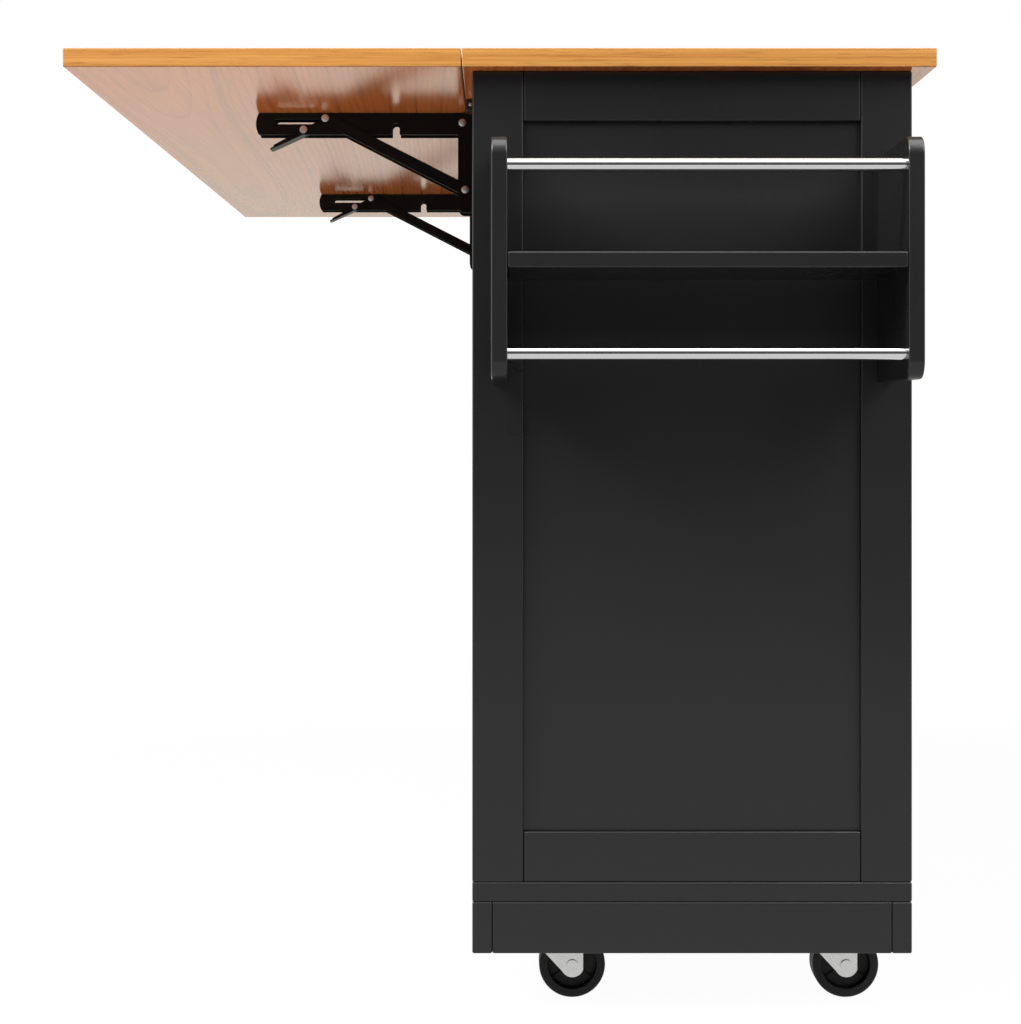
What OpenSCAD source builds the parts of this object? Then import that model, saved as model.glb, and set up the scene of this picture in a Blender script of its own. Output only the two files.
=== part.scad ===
// Drop leaf kitchen island on casters, with a spice and towel rack on one end.
// Units are millimetres.  Z = 0 is the floor.  The leaf is toward -X, the doors
// toward +X, the rack toward -Y.  The origin is under the middle of the whole
// object with its leaf up.

/* [Worktop and leaf] */
// Length of the worktop and of the leaf
top_length = 1340; // [1100:10:1600]
// Depth of the fixed worktop
top_depth = 451; // [400:1:520]
// Depth of the drop leaf
leaf_depth = 378; // [300:1:420]
// Thickness of worktop and leaf
top_t = 18; // [15:1:24]
// Gap between the worktop and the raised leaf
seam_gap = 1; // [0.6:0.2:2]
// Overhang of the fixed worktop on the leaf side
back_overhang = 9.5; // [8:0.5:11]
// Overhang of the worktop on the door side
front_overhang = 19.5; // [19.5:0.5:30]
// Overhang of the worktop at each end
end_overhang = 20; // [5:1:30]
// Eased edge of the boards
board_ease = 1; // [0.4:0.1:2]
// Distance of a top fixing block from the end of the worktop
fixing_inset = 183; // [120:1:240]
// Length of a top fixing block
fixing_len = 15; // [12:1:30]
// Height of a top fixing block
fixing_h = 12; // [8:0.5:16]

/* [Cabinet] */
// Height of the end panels
panel_h = 778.5; // [700:0.5:850]
// Thickness of the end and back panels
panel_t = 18; // [15:1:20]
// Width of the upright stiles
stile_w = 49; // [40:1:70]
// Height of the rails across the end panels
rail_h = 48.5; // [40:0.5:80]
// Depth of the recessed fields behind the frames
recess = 6; // [3:0.5:9]
// Height of the top rail on the leaf side, which carries the brackets
back_rail_h = 120; // [115:1:160]
// Joint line between stiles and rails
joint_gap = 0.3; // [0.2:0.1:0.6]
// Thickness of the bottom board
bottom_t = 19; // [15:1:22]
// Thickness of the middle partition
partition_t = 18; // [15:1:20]
// Height of the plinth boards
plinth_h = 49.5; // [40:0.5:70]
// Thickness of the plinth boards
plinth_t = 19; // [15:1:22]
// Clearance from the floor to the plinth
plinth_clear = 60; // [55:0.5:64]
// Thickness of the shelves
shelf_t = 15; // [12:1:18]
// Height of the shelves above the bottom board
shelf_rise = 290; // [200:5:400]
// Gap between a shelf and the doors
shelf_setback = 15; // [8:1:40]
// Diameter of the shelf pins
shelf_pin_d = 5; // [4:0.5:7]
// Length of a shelf pin out of its wall
shelf_pin_out = 8; // [6:0.5:12]
// Distance of the shelf pins from the long edges of a shelf
shelf_pin_inset = 45; // [30:5:80]

/* [Doors and drawers] */
// Thickness of doors and drawer fronts
door_t = 18; // [15:1:20]
// Gap round doors and drawer fronts
door_gap = 2; // [1.5:0.25:3]
// Width of the door stiles and rails
door_stile_w = 48; // [40:1:60]
// Height of the drawer opening
drawer_h = 148; // [125:1:200]
// Height of the front rails
front_rail_h = 20; // [15:1:25]
// Depth of the front rails
front_rail_d = 70; // [50:1:100]
// Distance of a door pivot from the front face and from the door's edge
pivot_set = 4; // [3.6:0.1:4.5]
// Diameter of a door pivot pin
pivot_d = 4; // [3:0.5:4.5]
// Length of a door pivot pin inside the door
pivot_len = 12; // [8:1:16]
// Depth of a drawer box
box_depth = 330; // [280:5:350]
// Height of a drawer box
box_h = 96; // [70:1:100]
// Thickness of the drawer box sides
box_t = 12; // [9:0.5:15]
// Thickness of the drawer bottom
box_bottom_t = 5; // [3:0.5:6]
// Height of the drawer bottom above the lower edge of the box
box_bottom_rise = 10; // [8:1:14]
// Width of a drawer runner
runner_w = 12.5; // [11:0.5:14]
// Height of a drawer runner
runner_h = 35; // [27:1:45]
// Sheet thickness of a drawer runner
runner_t = 1.2; // [1:0.1:1.6]
// Diameter of a knob
knob_d = 27; // [20:1:32]
// How far a knob stands out
knob_out = 19; // [15:0.5:20]
// Distance of a door knob below the top rail of its door
knob_drop = 30; // [20:1:60]

/* [Rack] */
// How far the rack stands out from the end panel
rack_depth = 150; // [120:1:180]
// Height of the rack sides
rack_h = 216.5; // [190:0.5:260]
// Distance from the top of the end panel to the top of the rack
rack_drop = 83; // [60:0.5:140]
// Thickness of the rack sides
rack_side_t = 14.5; // [12:0.5:18]
// Distance of the rack sides from the faces of the body
rack_inset = 19; // [5:0.5:40]
// Corner radius of the rack sides at the front
rack_corner = 17; // [8:0.5:24]
// Thickness of the rack shelf
rack_shelf_t = 14.5; // [12:0.5:18]
// Height of the rack shelf above the lower edge of the sides
rack_shelf_rise = 98.5; // [70:0.5:120]
// Diameter of the towel rails
rail_d = 12; // [8:0.5:14]
// Distance of the rails from the front edge of the rack sides
rail_setback = 12; // [11:0.5:20]
// Distance of the upper rail below the top of the rack sides
rail_drop = 25.5; // [18:0.5:40]
// Distance of the lower rail above the bottom of the rack sides
rail_rise = 23; // [18:0.5:40]
// How far a rail goes into each rack side
rail_socket = 6; // [3:0.5:9]

/* [Folding brackets] */
// Distance of the near bracket from the rack end of the worktop
bracket_inset = 289; // [220:1:380]
// Distance of the far bracket from the other end of the worktop
far_bracket_inset = 301; // [220:1:380]
// Sheet thickness of the bracket steel
steel_t = 1.8; // [1.5:0.1:2.2]
// Length of the support arm from the fold axis to its tip
arm_len = 224.5; // [216:0.5:260]
// Depth of the support arm walls
arm_h = 23.8; // [21:0.2:24]
// Width of the support arm
arm_w = 26; // [20:0.5:30]
// Radius of the arc at the tip of the support arm
arm_tip_r = 24; // [16:1:40]
// Distance of the fold axis from the body
fold_out = 14.6; // [14.4:0.1:14.8]
// Distance of the fold axis below the worktop
fold_drop = 11.4; // [11.2:0.1:11.8]
// Distance of the brace foot pin from the body
foot_out = 11.5; // [10:0.25:12]
// Distance of the brace foot pin below the worktop
foot_drop = 84; // [76:1:90]
// Distance of the brace head rivet from the body
head_out = 163.5; // [156:0.5:168]
// Distance of the brace head rivet below the worktop
head_drop = 6.2; // [5.8:0.1:8]
// Width of the brace straps at the foot
brace_w = 12.5; // [9:0.5:13]
// Height of the wall arm
wall_arm_h = 107; // [103:1:114]
// Distance from the worktop to the top of the wall arm
wall_arm_drop = 2; // [1.6:0.1:3]
// How far the wall arm flanges stand out from the body
wall_arm_out = 19.3; // [19.2:0.1:20]
// Diameter of the pivot pins
pin_d = 5; // [4:0.25:5.5]
// Diameter of the rivet heads
rivet_d = 8.25; // [7:0.25:8.75]
// Thickness of the rivet heads
rivet_t = 1; // [0.8:0.1:1.2]
// Side clearance between the bracket sheets
sheet_clear = 0.3; // [0.25:0.05:0.5]
// Radial clearance of a pin in its bore
pin_clear = 0.05; // [0.03:0.01:0.08]
// Height of the slot in the support arm
slot_h = 5.6; // [5:0.2:7]
// Distance of the middle of the slot below the worktop
slot_drop = 9.4; // [8.4:0.1:10]
// Distance from the fold axis to the outer end of the slot
slot_end = 204; // [190:1:210]
// Width of the notch that takes the brace foot pin
notch_w = 8.6; // [8.4:0.2:12]
// Distance of the lever pin from the body
lever_out = 187.5; // [184:0.5:190]
// Distance of the lever pin below the worktop
lever_drop = 18; // [17:0.25:18.5]
// Tilt of the release lever below the support arm
lever_tilt = 24.5; // [20:0.5:30]
// Length of the lever from its pin to its tip
lever_len = 42; // [30:1:44]
// Length of the lever from its pin to its inner end
lever_tail = 22; // [15:1:24]
// Distance of the underside of the lever below its pin
lever_low = 4.6; // [4.4:0.1:5]
// Height of the lever at its tip
lever_tip_h = 3.2; // [2.6:0.1:4]
// Height of the lever at its inner end
lever_tail_h = 7.2; // [5:0.1:7.4]
// Diameter of the lever pin
lever_pin_d = 4; // [3:0.25:4.5]

/* [Casters] */
// Diameter of a wheel
wheel_d = 65.5; // [50:0.5:66]
// Width of a wheel
wheel_w = 25; // [20:1:30]
// Height of a caster
caster_h = 88; // [86:1:95]
// Distance of a swivel axis from the two nearest faces of the body
caster_inset = 75.5; // [70:0.5:90]
// Horizontal distance from the swivel axis to the axle
caster_trail = 22.5; // [20:0.5:26]
// Side of the corner block that carries a caster
block_w = 104; // [90:1:110]
// Side of the plate of a caster
plate_w = 56; // [50:1:62]
// Length of the crown of a fork
crown_w = 40; // [36:1:44]
// Thickness of the fork legs
fork_t = 2.5; // [2:0.25:3]
// Clearance between a wheel and a fork leg
fork_clear = 1.5; // [1:0.25:2.5]
// Diameter of an axle
axle_d = 8; // [6:0.5:9]

/* [Hidden] */
$fn = 48;

// Where the main planes lie
total_w = leaf_depth + seam_gap + top_depth;
body_len = top_length - 2 * end_overhang;
body_dep = top_depth - back_overhang - front_overhang;
x_leaf = -total_w / 2;
x_seam = x_leaf + leaf_depth;
x_top = x_seam + seam_gap;
x_back = x_top + back_overhang;
x_front = x_back + body_dep;
y_rack = -(rack_depth + body_len + end_overhang) / 2;
y_near = y_rack + rack_depth;
y_far = y_near + body_len;
y_mid = (y_near + y_far) / 2;
y_top = y_near - end_overhang;
z_bottom = plinth_clear + plinth_h;
z_panel = z_bottom + bottom_t;
z_under = z_panel + panel_h;

// Bays behind the doors
bay_w = (body_len - 2 * panel_t - partition_t) / 2;
bay_y = [y_near + panel_t, y_mid + partition_t / 2];
x_bay = x_back + panel_t;
z_drawer = z_under - front_rail_h - drawer_h;
z_mid_rail = z_drawer - front_rail_h;
door_w = (bay_w - 3 * door_gap) / 2;
door_h = z_mid_rail - z_panel - 2 * door_gap;
panel_fit = 0.2;

// Bracket layout, measured out from the body and down from the worktop
bracket_y = [y_top + bracket_inset, y_top + top_length - far_bracket_inset];
strap_in = arm_w / 2 + rivet_t + sheet_clear;
flange_in = strap_in + steel_t + sheet_clear;
bracket_w = 2 * (flange_in + steel_t);
brace_run = head_out - foot_out;
brace_rise = foot_drop - head_drop;
brace_len = norm([brace_run, brace_rise]);
brace_angle = atan2(brace_rise, brace_run);
arm_tip_sag = arm_tip_r - sqrt(pow(arm_tip_r, 2) - pow(arm_h / 2, 2));
wall_arm_r = 7;
lever_tip_r = 5;
notch_top = fold_drop + fold_out - foot_out - pin_d / 2 - 0.5;

// Casters: kingpins in the four corners, wheels trailing toward +X
caster_at = [
    [x_back + caster_inset, y_near + caster_inset],
    [x_front - caster_inset, y_near + caster_inset],
    [x_back + caster_inset, y_far - caster_inset],
    [x_front - caster_inset, y_far - caster_inset]
];
wheel_r = wheel_d / 2;
leg_in = wheel_w / 2 + fork_clear;
leg_r = 11.4;
leg_front = 10.7;
plate_t = 2.5;
crown_t = 2.5;
crown_z = wheel_d + 3;
kingpin_d = 8;
race_d = 40;
race_h = 5;
race_gap = 0.3;

// A box whose edges are all eased by e
module eased_box(size, e = board_ease) {
    intersection() {
        linear_extrude(size.z)
            eased_rect(size.x, size.y, e);
        translate([0, size.y, 0])
            rotate([90, 0, 0])
                linear_extrude(size.y)
                    eased_rect(size.x, size.z, e);
        rotate([90, 0, 90])
            linear_extrude(size.x)
                eased_rect(size.y, size.z, e);
    }
}

module eased_rect(w, h, e) {
    polygon([[e, 0], [w - e, 0], [w, e], [w, h - e], [w - e, h], [e, h], [0, h - e], [0, e]]);
}

// An eased box between two corners
module board(low, high, e = board_ease) {
    translate(low)
        eased_box(high - low, e);
}

// Extrudes an outline drawn in X and Z from y0 by t along +Y
module sheet_y(y0, t) {
    translate([0, y0 + t, 0])
        rotate([90, 0, 0])
            linear_extrude(t)
                children();
}

// A cylinder along +Y from y0
module pin_y(d, y0, len) {
    sheet_y(y0, len)
        circle(d = d);
}

// A rectangle with its corner at the origin; r lists the radii of its corners,
// from the lower left one anticlockwise
module round_rect(w, h, r) {
    at = [[0, 0], [w, 0], [w, h], [0, h]];
    turn = [[1, 1], [-1, 1], [-1, -1], [1, -1]];
    difference() {
        square([w, h]);
        for (i = [0:3])
            if (r[i] > 0)
                translate(at[i])
                    difference() {
                        corner_square(turn[i], r[i]);
                        translate([turn[i].x * r[i], turn[i].y * r[i]])
                            circle(r = r[i]);
                    }
    }
}

module corner_square(turn, r) {
    translate([turn.x > 0 ? -1 : -r, turn.y > 0 ? -1 : -r])
        square(r + 1);
}

// ---- Worktop and cabinet ----

module worktop() {
    color([0.85, 0.6, 0.3])
        board([x_top, y_top, z_under], [x_top + top_depth, y_top + top_length, z_under + top_t]);
}

// Two stiles and two rails between y and y + panel_t; the recessed side is out
module end_frame(y) {
    x_in = x_back + stile_w + joint_gap;
    for (x = [x_back, x_front - stile_w])
        board([x, y, z_panel], [x + stile_w, y + panel_t, z_under]);
    for (z = [z_panel, z_under - rail_h])
        board([x_in, y, z], [x_front - stile_w - joint_gap, y + panel_t, z + rail_h]);
}

module near_end_frame() {
    color([0.16, 0.16, 0.16])
        end_frame(y_near);
}

module far_end_frame() {
    color([0.16, 0.16, 0.16])
        end_frame(y_far - panel_t);
}

module end_field(y) {
    translate([x_back + stile_w + panel_fit, y, z_panel + rail_h + panel_fit])
        cube([body_dep - 2 * (stile_w + panel_fit), panel_t - recess,
              panel_h - 2 * (rail_h + panel_fit)]);
}

module near_end_panel() {
    color([0.14, 0.14, 0.14])
        end_field(y_near + recess);
}

module far_end_panel() {
    color([0.14, 0.14, 0.14])
        end_field(y_far - panel_t);
}

// Frame on the leaf side, between the end panels, with a middle stile
module back_frame() {
    y_in = [y_near + panel_t + panel_fit, y_far - panel_t - panel_fit];
    y_stile = [y_in[0], y_mid - stile_w / 2, y_in[1] - stile_w];
    z_rail = [[z_panel, z_panel + rail_h], [z_under - back_rail_h, z_under]];
    color([0.16, 0.16, 0.16]) {
        for (y = y_stile)
            board([x_back, y, z_panel + rail_h + joint_gap],
                  [x_back + panel_t, y + stile_w, z_under - back_rail_h - joint_gap]);
        for (z = z_rail)
            board([x_back, y_in[0], z[0]], [x_back + panel_t, y_in[1], z[1]]);
    }
}

module back_panels() {
    y_in = [y_near + panel_t + panel_fit, y_far - panel_t - panel_fit];
    y_field = [[y_in[0] + stile_w, y_mid - stile_w / 2], [y_mid + stile_w / 2, y_in[1] - stile_w]];
    color([0.14, 0.14, 0.14])
        for (y = y_field)
            translate([x_back + recess, y[0] + panel_fit, z_panel + rail_h + panel_fit])
                cube([panel_t - recess, y[1] - y[0] - 2 * panel_fit,
                      panel_h - rail_h - back_rail_h - 2 * panel_fit]);
}

module bottom_board() {
    color([0.16, 0.16, 0.16])
        board([x_back, y_near, z_bottom], [x_front, y_far, z_panel]);
}

module plinth_long_boards() {
    color([0.17, 0.17, 0.17])
        for (x = [x_back, x_front - plinth_t])
            board([x, y_near, plinth_clear], [x + plinth_t, y_far, z_bottom]);
}

module plinth_end_boards() {
    x_in = x_back + plinth_t + joint_gap;
    color([0.17, 0.17, 0.17])
        for (y = [y_near, y_far - plinth_t])
            board([x_in, y, plinth_clear], [x_front - plinth_t - joint_gap, y + plinth_t, z_bottom]);
}

module partition() {
    color([0.2, 0.2, 0.2])
        translate([x_bay, y_mid - partition_t / 2, z_panel])
            cube([x_front - x_bay, partition_t, panel_h]);
}

// A rail over and a rail under each drawer, flush with the front
module front_rails() {
    color([0.16, 0.16, 0.16])
        for (y = bay_y, z = [z_mid_rail, z_under - front_rail_h])
            board([x_front - front_rail_d, y + panel_fit, z],
                  [x_front, y + bay_w - panel_fit, z + front_rail_h]);
}

// ---- Shelves ----

module shelves() {
    color([0.2, 0.2, 0.2])
        for (y = bay_y)
            board([x_bay + 1, y + 0.5, z_panel + shelf_rise],
                  [x_front - door_t - shelf_setback, y + bay_w - 0.5, z_panel + shelf_rise + shelf_t]);
}

// Two pins in each wall of a bay carry a shelf
module shelf_pins() {
    z = z_panel + shelf_rise - shelf_pin_d / 2;
    x_pins = [x_bay + shelf_pin_inset, x_front - door_t - shelf_setback - shelf_pin_inset];
    color([0.75, 0.75, 0.75])
        for (x = x_pins, y = bay_y) {
            translate([x, 0, z])
                pin_y(shelf_pin_d, y, shelf_pin_out);
            translate([x, 0, z])
                pin_y(shelf_pin_d, y + bay_w - shelf_pin_out, shelf_pin_out);
        }
}

// ---- Doors: 1 to 4 from the rack end; odd ones hinge on their -Y edge ----

function door_y(i) = bay_y[floor(i / 2)] + door_gap + (i % 2) * (door_w + door_gap);
function door_pivot_y(i) = i % 2 == 0 ? door_y(i) + pivot_set : door_y(i) + door_w - pivot_set;
x_pivot = x_front - pivot_set;
z_door = z_panel + door_gap;

module door_frame(i) {
    x = x_front - door_t;
    y = door_y(i);
    color([0.16, 0.16, 0.16]) {
        difference() {
            for (y_stile = [y, y + door_w - door_stile_w])
                board([x, y_stile, z_door], [x_front, y_stile + door_stile_w, z_door + door_h]);
            for (z = [z_door - 1, z_door + door_h - pivot_len])
                translate([x_pivot, door_pivot_y(i), z])
                    cylinder(h = pivot_len + 1, d = pivot_d + 2 * pin_clear);
        }
        for (z = [z_door, z_door + door_h - door_stile_w])
            board([x, y + door_stile_w + joint_gap, z],
                  [x_front, y + door_w - door_stile_w - joint_gap, z + door_stile_w]);
    }
}

module door_panel(i) {
    in = door_stile_w + panel_fit;
    color([0.14, 0.14, 0.14])
        translate([x_front - door_t, door_y(i) + in, z_door + in])
            cube([door_t - recess, door_w - 2 * in, door_h - 2 * in]);
}

// A flanged pin under and over each door
module door_pivots() {
    flange_t = door_gap - 0.4;
    color([0.75, 0.75, 0.75])
        for (i = [0:3])
            translate([x_pivot, door_pivot_y(i), 0]) {
                translate([0, 0, z_panel])
                    cylinder(h = flange_t, d = pivot_d + 3);
                translate([0, 0, z_panel])
                    cylinder(h = pivot_len, d = pivot_d);
                translate([0, 0, z_mid_rail - flange_t])
                    cylinder(h = flange_t, d = pivot_d + 3);
                translate([0, 0, z_mid_rail - pivot_len])
                    cylinder(h = pivot_len, d = pivot_d);
            }
}

// A turned knob that stands out along +X
module knob() {
    foot_d = knob_d * 0.5;
    neck_d = knob_d * 0.36;
    rotate([0, 90, 0])
        rotate_extrude()
            polygon([
                [0, 0], [foot_d / 2, 0], [foot_d / 2, 1.5], [neck_d / 2, 4],
                [neck_d / 2, knob_out - 10], [knob_d / 2 - 1, knob_out - 7],
                [knob_d / 2, knob_out - 5], [knob_d / 2 - 1, knob_out - 2.5],
                [knob_d / 2 - 5, knob_out - 0.6], [0, knob_out]
            ]);
}

module door_knob(i) {
    y_free = i % 2 == 0 ? door_y(i) + door_w - door_stile_w / 2 : door_y(i) + door_stile_w / 2;
    color([0.72, 0.72, 0.72])
        translate([x_front, y_free, z_door + door_h - door_stile_w - knob_drop])
            knob();
}

// ---- Drawers: 1 is at the rack end ----

x_box = x_front - door_t - box_depth;
z_box = z_drawer + (drawer_h - box_h) / 2;
z_runner = z_box + box_h / 2 - runner_h / 2;
runner_play = 0.4;

module drawer_front(i) {
    color([0.16, 0.16, 0.16])
        board([x_front - door_t, bay_y[i] + door_gap, z_drawer + door_gap],
              [x_front, bay_y[i] + bay_w - door_gap, z_drawer + drawer_h - door_gap]);
}

// Four sides with a bottom in a groove, and a runner rail on each flank
module drawer_box(i) {
    y0 = bay_y[i] + runner_w;
    y1 = bay_y[i] + bay_w - runner_w;
    groove = box_t / 2;
    rail_in = runner_t + runner_play;
    color([0.78, 0.66, 0.5]) {
        difference() {
            translate([x_box, y0, z_box])
                cube([box_depth, y1 - y0, box_h]);
            translate([x_box + box_t, y0 + box_t, z_box - 1])
                cube([box_depth - 2 * box_t, y1 - y0 - 2 * box_t, box_h + 2]);
            translate([x_box + groove, y0 + groove, z_box + box_bottom_rise])
                cube([box_depth - 2 * groove, y1 - y0 - 2 * groove, box_bottom_t]);
        }
        translate([x_box + groove + 0.2, y0 + groove + 0.2, z_box + box_bottom_rise + 0.2])
            cube([box_depth - 2 * groove - 0.4, y1 - y0 - 2 * groove - 0.4, box_bottom_t - 0.4]);
    }
    color([0.75, 0.75, 0.75])
        for (y = [y0 - runner_w + rail_in, y1 + panel_fit])
            translate([x_box + 2, y, z_runner + runner_t + runner_play])
                cube([box_depth - 6, runner_w - rail_in - panel_fit,
                      runner_h - 2 * (runner_t + runner_play)]);
}

// Channel runners on the walls of each bay; the drawer's rails slide in them
module drawer_runners() {
    lip = runner_w - 2 * runner_play;
    color([0.75, 0.75, 0.75])
        for (y = bay_y, side = [0, 1])
            translate([x_box, side == 0 ? y : y + bay_w, z_runner])
                mirror([0, side, 0])
                    difference() {
                        cube([box_depth - 4, lip, runner_h]);
                        translate([-1, runner_t, runner_t])
                            cube([box_depth, lip, runner_h - 2 * runner_t]);
                    }
}

module drawer_knob(i) {
    color([0.72, 0.72, 0.72])
        translate([x_front, bay_y[i] + bay_w / 2, z_drawer + drawer_h / 2])
            knob();
}

// ---- Spice and towel rack ----

z_rack = z_under - rack_drop - rack_h;
x_rack = [x_back + rack_inset, x_front - rack_inset - rack_side_t];
rail_z = [z_rack + rail_rise, z_rack + rack_h - rail_drop];
y_rail = y_rack + rail_setback;

// Outline of a side in Y and Z: round front corners, square against the panel
module rack_outline() {
    round_rect(rack_depth, rack_h, [rack_corner, 0, 0, rack_corner]);
}

module rack_sides() {
    color([0.16, 0.16, 0.16])
        for (i = [0, 1])
            difference() {
                translate([x_rack[i], y_rack, z_rack])
                    rotate([90, 0, 90])
                        linear_extrude(rack_side_t)
                            rack_outline();
                for (z = rail_z)
                    translate([i == 0 ? x_rack[0] + rack_side_t - rail_socket : x_rack[1] - 1, y_rail, z])
                        rotate([0, 90, 0])
                            cylinder(h = rail_socket + 1, d = rail_d + 2 * pin_clear);
            }
}

module rack_shelf() {
    color([0.15, 0.15, 0.15])
        board([x_rack[0] + rack_side_t + panel_fit, y_rack, z_rack + rack_shelf_rise],
              [x_rack[1] - panel_fit, y_near - panel_fit, z_rack + rack_shelf_rise + rack_shelf_t]);
}

module towel_rails() {
    x0 = x_rack[0] + rack_side_t - rail_socket + 0.2;
    x1 = x_rack[1] + rail_socket - 0.2;
    color([0.8, 0.8, 0.82])
        for (z = rail_z)
            translate([x0, y_rail, z])
                rotate([0, 90, 0])
                    cylinder(h = x1 - x0, d = rail_d);
}

// ---- Folding brackets ----

// Moves to a point that lies out from the body and down from the worktop
module from_corner(out, drop) {
    translate([x_back - out, 0, z_under - drop])
        children();
}

// The same point in an outline drawn in X and Z
module outline_at(out, drop) {
    translate([x_back - out, z_under - drop])
        children();
}

// Rectangle from (out, drop) of its inner top corner, reaching outward and down
module outline_rect(out, drop, reach, depth, r = [0, 0, 0, 0]) {
    translate([x_back - out - reach, z_under - drop - depth])
        round_rect(reach, depth, r);
}

module pivot_holes(d) {
    outline_at(fold_out, fold_drop)
        circle(d = d);
    outline_at(foot_out, foot_drop)
        circle(d = d);
}

// Channel screwed upright to the body: a web and two flanges
module wall_arms() {
    color([0.07, 0.06, 0.06])
        for (y = bracket_y) {
            translate([x_back - steel_t, y - bracket_w / 2, z_under - wall_arm_drop - wall_arm_h])
                cube([steel_t, bracket_w, wall_arm_h]);
            for (side = [-1, 1])
                sheet_y(y + (side > 0 ? flange_in : -flange_in - steel_t), steel_t)
                    difference() {
                        outline_rect(0, wall_arm_drop, wall_arm_out, wall_arm_h, [wall_arm_r, 0, 0, wall_arm_r]);
                        pivot_holes(pin_d + 2 * pin_clear);
                    }
        }
}

// Fold pins with collars that centre the support arm, and foot pins
module bracket_pins() {
    shaft = bracket_w + 2 * rivet_t;
    collar_y = arm_w / 2 + sheet_clear;
    collar = flange_in - arm_w / 2 - 2 * sheet_clear;
    color([0.8, 0.8, 0.8])
        for (y = bracket_y) {
            from_corner(fold_out, fold_drop) {
                pin_y(pin_d, y - shaft / 2, shaft);
                pin_y(rivet_d, y - collar_y - collar, collar);
                pin_y(rivet_d, y + collar_y, collar);
                rivet_heads(y, bracket_w);
            }
            from_corner(foot_out, foot_drop) {
                pin_y(pin_d, y - shaft / 2, shaft);
                rivet_heads(y, bracket_w);
            }
        }
}

// Flat heads on both ends of a pin whose grip is wide and centred on y
module rivet_heads(y, wide) {
    pin_y(rivet_d, y - wide / 2 - rivet_t, rivet_t);
    pin_y(rivet_d, y + wide / 2, rivet_t);
}

// Round at the fold, and at the tip a flat arc over the whole height
module arm_outline() {
    outline_at(fold_out, fold_drop)
        circle(r = fold_drop - 0.5);
    outline_rect(fold_out, 0, arm_len - arm_tip_sag, arm_h);
    intersection() {
        outline_rect(fold_out, 0, arm_len, arm_h);
        outline_at(fold_out + arm_len - arm_tip_r, arm_h / 2)
            circle(r = arm_tip_r, $fn = 144);
    }
}

// Channel under the leaf: its web is screwed to the leaf, its walls hang down
module support_arms() {
    slot_in = head_out - fold_out;
    color([0.07, 0.06, 0.06])
        for (y = bracket_y) {
            translate([x_back - fold_out - arm_len + arm_tip_sag, y - arm_w / 2, z_under - steel_t])
                cube([arm_len - arm_tip_sag, arm_w, steel_t]);
            for (side = [-1, 1])
                sheet_y(y + (side > 0 ? arm_w / 2 - steel_t : -arm_w / 2), steel_t)
                    difference() {
                        arm_outline();
                        outline_at(fold_out, fold_drop)
                            circle(d = pin_d + 2 * pin_clear);
                        outline_at(lever_out, lever_drop)
                            circle(d = lever_pin_d + 2 * pin_clear);
                        arm_slot(slot_in);
                        foot_notch();
                    }
        }
}

// Long slot in the arm walls, with a pocket for the brace head at its inner end
module arm_slot(slot_in) {
    r = slot_h / 2;
    outline_rect(fold_out + slot_in - r, slot_drop - r, slot_end - slot_in + r, slot_h, [r, r, r, r]);
    outline_rect(fold_out + slot_in - r, head_drop - r, slot_h, slot_drop - head_drop + r, [0, 0, r, r]);
}

// Notch in the lower edge that goes over the foot pin when the leaf hangs
module foot_notch() {
    r = notch_w / 2;
    outline_rect(fold_out + foot_drop - fold_drop - r, notch_top, notch_w, arm_h, [0, 0, r, r]);
}

// Straps outside the support arm, one on each side, hinged on the foot pin
module brace_straps(y) {
    color([0.07, 0.06, 0.06])
        for (side = [-1, 1])
            sheet_y(y + (side > 0 ? strap_in : -strap_in - steel_t), steel_t)
                difference() {
                    brace_outline();
                    outline_at(foot_out, foot_drop)
                        circle(d = pin_d + 2 * pin_clear);
                    outline_at(head_out, head_drop)
                        circle(d = lever_pin_d + 2 * pin_clear);
                }
}

// A strap tapers so that its round head stays under the leaf
module brace_outline() {
    foot_r = brace_w / 2;
    head_r = min(foot_r, head_drop - sheet_clear);
    outline_at(foot_out, foot_drop)
        rotate(180 - brace_angle) {
            circle(r = foot_r);
            polygon([[0, -foot_r], [brace_len, -head_r], [brace_len, head_r], [0, foot_r]]);
            translate([brace_len, 0])
                circle(r = head_r);
        }
}

// Short rivets at the head of the brace; they stop clear of the support arm
module brace_rivets(y) {
    color([0.8, 0.8, 0.8])
        for (side = [-1, 1])
            from_corner(head_out, head_drop) {
                pin_y(lever_pin_d, y + (side > 0 ? strap_in : -strap_in - steel_t), steel_t);
                pin_y(rivet_d, y + (side > 0 ? strap_in + steel_t : -strap_in - steel_t - rivet_t), rivet_t);
            }
}

// Release lever: a shallow channel on the lever pin that leans down and outward
module release_lever(y) {
    wide = arm_w - 2 * (steel_t + sheet_clear);
    color([0.35, 0.36, 0.37])
        from_corner(lever_out, lever_drop)
            rotate([0, -lever_tilt, 0]) {
                translate([-lever_len, y - wide / 2, -lever_low])
                    linear_extrude(steel_t)
                        round_rect(lever_len + lever_tail, wide, [lever_tip_r, 0, 0, lever_tip_r]);
                for (side = [-1, 1])
                    sheet_y(y + (side > 0 ? wide / 2 - steel_t : -wide / 2), steel_t)
                        lever_flange();
            }
}

// Side of the lever, lowest at the tip, with a round ear on the pin
module lever_flange() {
    tip = lever_tip_r - lever_len;
    difference() {
        union() {
            circle(r = lever_low);
            polygon([
                [tip, -lever_low], [lever_tail, -lever_low],
                [lever_tail, lever_tail_h - lever_low], [tip, lever_tip_h - lever_low]
            ]);
        }
        circle(d = lever_pin_d + 2 * pin_clear);
    }
}

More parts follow.
